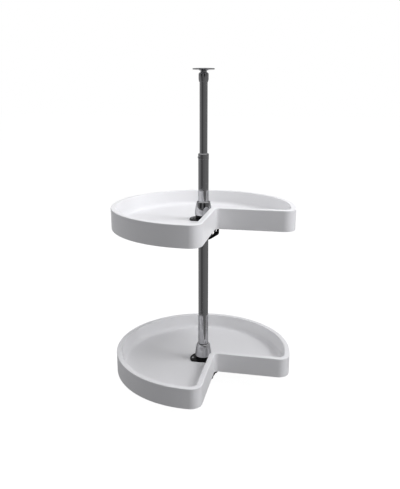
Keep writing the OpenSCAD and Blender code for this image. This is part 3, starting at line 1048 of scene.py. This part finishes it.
@dataclass
class Tier:
    """One tray with its hub, and the collar that carries it."""

    shop: Workshop
    moulding: TrayMoulding
    tray_mesh: BMesh
    side: str
    flange_t: float = 0.003
    sleeve_lip: float = 0.0031
    hub_bore_r: float = 0.01705
    barrel_wall: float = 0.00295
    step_r: float = 0.018
    step_h: float = 0.0088
    pad_t: float = 0.0022
    gussets: int = 12
    gusset_t: float = 0.003
    gusset_bar: float = 0.004
    gusset_reach: float = 0.0085
    gusset_edge: float = 0.022
    nut_r: float = 0.00404
    nut_bore_r: float = 0.00205
    head_h: float = 0.0024
    collar_wall: float = 0.00385
    collar_bulge: float = 0.0006
    sleeve_wall: float = 0.0018
    sleeve_socket: float = 0.0155
    set_screw_r: float = 0.003
    screw_dirs: tuple[float, ...] = (75.0, 135.0, 195.0)
    set_screw_dirs: tuple[float, ...] = (60.0, 150.0)

    def __post_init__(self) -> None:
        """Reads the tier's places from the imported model."""
        self.lip_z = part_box(self.node("tray"))[1].z
        low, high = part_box(self.node("set_screws"))
        self.set_screw_z = (low.z + high.z) / 2

    def node(self, part: str) -> str:
        """Returns the name of one of this tier's nodes, bodies or pieces."""
        return f"{self.side}_{part}"

    def build(self) -> None:
        """Builds the tier's pieces."""
        turning, carrier = self.node("turntable"), self.node("carrier")
        for bm, name, body, slot, node in (
            (self.tray(), "tray_moulding", turning, Slot.WHITE, "tray"),
            (self.flange(), "flange_detail", turning, Slot.BLACK, "hub_flange"),
            (self.hub(), "hub_detail", turning, Slot.BLACK, "hub"),
            (self.hub_screws(), "hub_screws_detail", turning, Slot.STEEL, "hub_screws"),
            (self.hub_nuts(), "hub_nuts_detail", turning, Slot.STEEL, "hub_nuts"),
            (self.collar(), "collar_detail", carrier, Slot.CHROME, "collar"),
            (self.set_screws(), "set_screws_detail", carrier, Slot.STEEL, "set_screws"),
        ):
            self.shop.piece(bm, self.node(name), body, slot, self.node(node))

    def tray(self) -> BMesh:
        """Returns a copy of the moulding in its place."""
        return moved(self.tray_mesh.copy(), shift(z=self.lip_z))

    def flange(self) -> BMesh:
        """Returns the black flange and neck above the tray's floor."""
        low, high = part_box(self.node("hub_flange"))
        radius = -low.x
        neck_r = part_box(self.node("collar"))[1].x - COLLAR_STEP
        bore_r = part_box(self.node("sleeve"))[1].x - self.sleeve_lip + self.moulding.pass_gap
        floor = self.lip_z - self.moulding.floor_depth
        top = floor + self.flange_t
        corners = [
            Corner(bore_r, low.z), Corner(neck_r, low.z), Corner(neck_r, floor),
            Corner(radius, floor, 0.0003), Corner(radius, top, 0.0012),
            Corner(neck_r + 0.0006, top, 0.0008), Corner(neck_r, high.z, 0.001),
            Corner(bore_r, high.z, 0.0005),
        ]
        return with_flats(turned(corners), high.x)

    def hub(self) -> BMesh:
        """Returns the black gusseted hub under the tray."""
        low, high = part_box(self.node("hub"))
        rim_under = self.lip_z - self.moulding.rim_h
        reach, bore_r = high.x, self.hub_bore_r
        pad_r, pad_z = reach - self.gusset_reach, rim_under - self.pad_t
        barrel_r = bore_r + self.barrel_wall
        step_z = low.z + self.step_h
        core = [
            Corner(bore_r, high.z, 0.0004), Corner(pad_r, high.z, 0.0005),
            Corner(pad_r, pad_z, 0.0008), Corner(barrel_r, pad_z, 0.0015),
            Corner(barrel_r, low.z, 0.0008), Corner(self.step_r, low.z, 0.0003),
            Corner(self.step_r, step_z), Corner(bore_r, step_z),
        ]
        sunk = 0.001
        top = rim_under - 0.0008
        edge_z, foot_z = rim_under - self.gusset_edge, low.z + 0.0002
        outline = [
            Corner(barrel_r - sunk, top), Corner(reach, top, 0.0012), Corner(reach, edge_z, 0.003),
            Corner(barrel_r + sunk, foot_z, 0.0008), Corner(barrel_r - sunk, foot_z),
        ]
        slope = (edge_z - foot_z) / (reach - barrel_r - sunk)
        inner, outer = barrel_r + self.gusset_t, reach - self.gusset_bar
        ceiling = top - self.gusset_bar
        sill = foot_z + self.gusset_bar * math.hypot(1.0, slope)
        opening = [
            Corner(inner, ceiling, 0.001), Corner(outer, ceiling, 0.001),
            *(Corner(x, sill + slope * (x - barrel_r - sunk), 0.001) for x in (outer, inner)),
        ]
        window = plate(opening, self.gusset_t * 2)
        gusset = combined(plate(outline, self.gusset_t), window)
        angles = (360.0 / self.gussets * i for i in range(self.gussets))
        return combined(turned(core), ringed(gusset, angles), Cut.ADD, self_crossing=True)

    def _on_hub(self, fastener: BMesh, z: float) -> BMesh:
        """Sets a fastener round the hub.

        Args:
            fastener: Its mesh, which is freed.
            z: The height that it is lifted to.

        Returns:
            Its copies as one mesh.
        """
        first = math.sin(math.radians(self.screw_dirs[0]))
        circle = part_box(self.node("hub_nuts"))[1].y / first - self.nut_r
        return ringed(moved(fastener, shift(circle, z)), self.screw_dirs)

    def hub_screws(self) -> BMesh:
        """Returns the screws that clamp the flange and the hub to the floor."""
        low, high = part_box(self.node("hub_screws"))
        head_z = high.z - self.head_h
        reach = head_z - low.z
        screw = SocketScrew(0.0036, self.head_h, shank_r=0.002, length=reach, socket_r=0.0016)
        return self._on_hub(screw.mesh(), head_z)

    def hub_nuts(self) -> BMesh:
        """Returns the nuts of those screws."""
        low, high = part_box(self.node("hub_nuts"))
        return self._on_hub(HexNut(self.nut_r, high.z - low.z, self.nut_bore_r).mesh(), low.z)

    def collar(self) -> BMesh:
        """Returns the chrome cone that clamps on the post, with its set screw holes."""
        low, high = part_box(self.node("collar"))
        foot_r = high.x
        bore_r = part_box("lower_tube")[1].x + FIT
        top_r = bore_r + self.collar_wall
        sleeve_r = bore_r + self.sleeve_wall
        socket_z = low.z + self.sleeve_socket
        foot_z, shoulder_z = low.z + 0.001, high.z - 0.0012
        flank, steps = [], 12
        for step in range(1, steps):
            up = step / steps
            bulge = self.collar_bulge * 4.0 * up * (1.0 - up)
            run = foot_r + (top_r - foot_r) * up + bulge
            flank.append(Corner(run, foot_z + (shoulder_z - foot_z) * up))
        corners = [
            Corner(sleeve_r, low.z, 0.0004), Corner(foot_r, low.z, 0.0006), Corner(foot_r, foot_z),
            *flank, Corner(top_r, shoulder_z, 0.0002), Corner(top_r - 0.0012, high.z, 0.0005),
            Corner(bore_r, high.z, 0.0003), Corner(bore_r, socket_z), Corner(sleeve_r, socket_z),
        ]
        hole = prism(SMALL_STEPS, self.set_screw_r + FIT, 0.0, foot_r * 1.5)
        holes = ringed(moved(hole, LAY_DOWN, shift(z=self.set_screw_z)), self.set_screw_dirs)
        return combined(turned(corners), holes, self_crossing=True)

    def set_screws(self) -> BMesh:
        """Returns the collar's set screws."""
        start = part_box("lower_tube")[1].x + FIT
        screw = GrubScrew(self.set_screw_r, self.collar_wall).mesh()
        return ringed(moved(screw, shift(start, self.set_screw_z)), self.set_screw_dirs)


# ---- studio


@dataclass(frozen=True)
class Lamp:
    """A soft rectangular lamp that faces a point of the object."""

    name: str
    place: Triple
    size: Pair
    power: float
    aim: Triple = (0.0, 0.0, 0.3)
    colour: Triple = (0.97, 0.97, 1.0)

    def build(self) -> None:
        """Adds the lamp."""
        data = bpy.data.lights.new(self.name, "AREA")
        data.shape = "RECTANGLE"
        data.size, data.size_y = self.size
        data.energy = self.power
        data.color = self.colour
        lamp = bpy.data.objects.new(self.name, data)
        lamp.location = self.place
        line = Vector(self.aim) - Vector(self.place)
        lamp.rotation_euler = line.to_track_quat("-Z", "Y").to_euler()
        lamp.visible_camera = False
        lamp.visible_glossy = False
        bpy.context.scene.collection.objects.link(lamp)


@dataclass
class Studio:
    """The pale floor, white surroundings, grey cards, soft lamps and the photograph's camera."""

    photo_h: float = 489.0
    focal_px: float = 546.93
    sensor: float = 36.0
    azimuth: float = 11.2
    yaw: float = 0.364
    pitch: float = 15.163
    distance_in_radii: float = 5.8718
    height_in_radii: float = 2.8182
    floor_size: float = 40.0
    floor_grey: float = 0.16
    floor_glow: float = 0.97
    ambient: float = 0.213
    ambient_colour: Triple = (0.965, 0.965, 1.0)
    card_reach: float = 8.0
    card_height: float = 6.0
    card_lift: float = 0.002
    card_start: float = 0.05
    card_sides: Pair = (-150.0, 150.0)
    card_step: Pair = (1.12, 1.26)
    low_tones: tuple[Pair, ...] = (
        (-150.0, 0.30), (-84.0, 0.23), (-59.0, 0.15), (-40.0, 0.07), (-22.0, 0.095), (4.0, 0.165),
        (24.0, 0.16), (45.0, 0.205), (68.0, 0.18), (95.0, 0.22), (150.0, 0.34),
    )
    high_tones: tuple[Pair, ...] = (
        (-150.0, 0.20), (-90.0, 0.20), (-62.0, 0.1), (-50.0, 0.012), (-34.0, 0.012), (-20.0, 0.19),
        (-6.0, 0.19), (6.0, 0.01), (26.0, 0.01), (40.0, 0.17), (62.0, 0.12), (80.0, 0.17),
        (150.0, 0.30),
    )
    lamps: tuple[Lamp, ...] = (
        Lamp("key_high", (1.7, 0.0, 2.1), (1.0, 1.0), 25.4),
        Lamp("key_low", (2.4, 0.05, 1.0), (1.8, 1.4), 13.3),
        Lamp("overhead", (0.0, 0.0, 2.3), (1.4, 1.4), 14.1),
        Lamp("front_right", (1.556, -1.556, 0.9), (1.2, 1.0), 9.9),
        Lamp("left", (-2.2, 0.0, 0.9), (1.2, 1.0), 13.9),
    )

    def build(self) -> None:
        """Builds the studio."""
        bpy.context.scene.view_settings.view_transform = "Standard"
        self.camera()
        self.surroundings()
        self.floor()
        self.cards()
        for lamp in self.lamps:
            lamp.build()

    def camera(self) -> None:
        """Places the camera where a fit to the photograph's tray edges puts it."""
        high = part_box("lower_tray")[1]
        radius, lip_z = high.x, high.z
        around = math.radians(self.azimuth)
        data = bpy.data.cameras.new("camera")
        data.sensor_width = self.sensor
        data.lens = self.sensor * self.focal_px / self.photo_h
        camera = bpy.data.objects.new("camera", data)
        reach = self.distance_in_radii * radius
        height = lip_z + self.height_in_radii * radius
        camera.location = (reach * math.sin(around), -reach * math.cos(around), height)
        turn = around + math.radians(self.yaw)
        camera.rotation_euler = (math.radians(90.0 - self.pitch), 0.0, turn)
        bpy.context.scene.collection.objects.link(camera)
        bpy.context.scene.camera = camera

    def surroundings(self) -> None:
        """Makes the world: soft even light, white to the camera and in what it mirrors."""
        world = bpy.data.worlds.new("surroundings")
        bpy.context.scene.world = world
        nodes = Nodes(world)
        shown = nodes.shown_rays()
        tint = nodes.colours(shown, self.ambient_colour, WHITE)
        strength = self.ambient + shown * (1.0 - self.ambient)
        light = nodes.wire("ShaderNodeBackground", {}, {"Color": tint, "Strength": strength})
        nodes.node("ShaderNodeOutputWorld", {}, {"Surface": light})

    def floor(self) -> None:
        """Lays the pale floor, which shows white but keeps the object's soft shadow."""
        bm = bmesh.new()
        bmesh.ops.create_grid(bm, x_segments=1, y_segments=1, size=self.floor_size / 2)
        nodes = self._stage_piece(bm, "floor")
        matt = nodes.wire("ShaderNodeBsdfDiffuse", {}, {"Color": (self.floor_grey,) * 3 + (1.0,)})
        strength = nodes.shown_rays() * self.floor_glow
        glow = nodes.wire("ShaderNodeEmission", {}, {"Strength": strength})
        both = nodes.wire("ShaderNodeAddShader", {}, {0: matt, 1: glow})
        nodes.node("ShaderNodeOutputMaterial", {}, {"Surface": both})

    def cards(self) -> None:
        """Stands curved grey cards round the front and the sides, which only its gloss mirrors."""
        bm = bmesh.new()
        points = [
            (self.card_start, 0.0, self.card_lift), (self.card_reach, 0.0, self.card_lift),
            (self.card_reach, 0.0, self.card_height),
        ]
        verts = [bm.verts.new(point) for point in points]
        edges = [bm.edges.new(pair) for pair in zip(verts, verts[1:])]
        start, end = self.card_sides
        forward = self.azimuth - 90.0
        moved(bm, turn_z(forward + start))
        spun(bm, verts + edges, math.radians(end - start), SMALL_STEPS)
        nodes = self._stage_piece(bm, "grey_cards")
        place = nodes.wire("ShaderNodeTexCoord", output="Object")
        split = nodes.node("ShaderNodeSeparateXYZ", {}, {0: place})
        east, north, height = (Wire(nodes, output) for output in split.outputs)
        share = (north.angle_from(east) - math.radians(forward + start)) / math.radians(end - start)
        low = self._tones(nodes, share, self.low_tones)
        high = self._tones(nodes, share, self.high_tones)
        foot, top = self.card_step
        raised = ((height - foot) / (top - foot)).at_least(0.0).at_most(1.0)
        glow = nodes.wire("ShaderNodeEmission", {}, {"Color": nodes.colours(raised, low, high)})
        nodes.node("ShaderNodeOutputMaterial", {}, {"Surface": glow})
        cards = bpy.data.objects["grey_cards"]
        for ray in ("camera", "diffuse", "shadow", "transmission", "volume_scatter"):
            setattr(cards, f"visible_{ray}", False)

    def _tones(self, nodes: Nodes, share: Wire, tones: Sequence[Pair]) -> Wire:
        """Ramps through the tones round the cards.

        Args:
            nodes: The tree of the cards' material.
            share: How far round a point is, from 0 to 1.
            tones: Pairs of an angle from the camera's side and the tone there.

        Returns:
            The wire with the tone.
        """
        start, end = self.card_sides
        ramp = nodes.node("ShaderNodeValToRGB", {}, {0: share})
        stops = ramp.color_ramp.elements
        for side, tone in tones:
            ends = {start: stops[0], end: stops[len(stops) - 1]}
            stop = ends.get(side) or stops.new((side - start) / (end - start))
            stop.color = (tone, tone, tone, 1.0)
        return Wire(nodes, ramp.outputs[0])

    @staticmethod
    def _stage_piece(bm: BMesh, name: str) -> Nodes:
        """Makes a piece of the stage, which is no part of the object.

        Args:
            bm: Its mesh, which is freed.
            name: Its name and its material's.

        Returns:
            The empty tree of its material.
        """
        piece = placed(bm, name)
        material = bpy.data.materials.new(name)
        piece.data.materials.append(material)
        return Nodes(material)


def main() -> None:
    """Builds the studio and the object's sub-assemblies."""
    logging.basicConfig(level=logging.INFO, format="%(name)s: %(message)s")
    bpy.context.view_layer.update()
    Studio().build()
    finishes = Finishes()
    finishes.dress_frame()
    shop = Workshop(finishes)
    Post(shop).build()
    moulding = TrayMoulding()
    tray_mesh = moulding.mesh()
    for side in ("lower", "upper"):
        Tier(shop, moulding, tray_mesh, side).build()


if __name__ == "__main__":
    main()
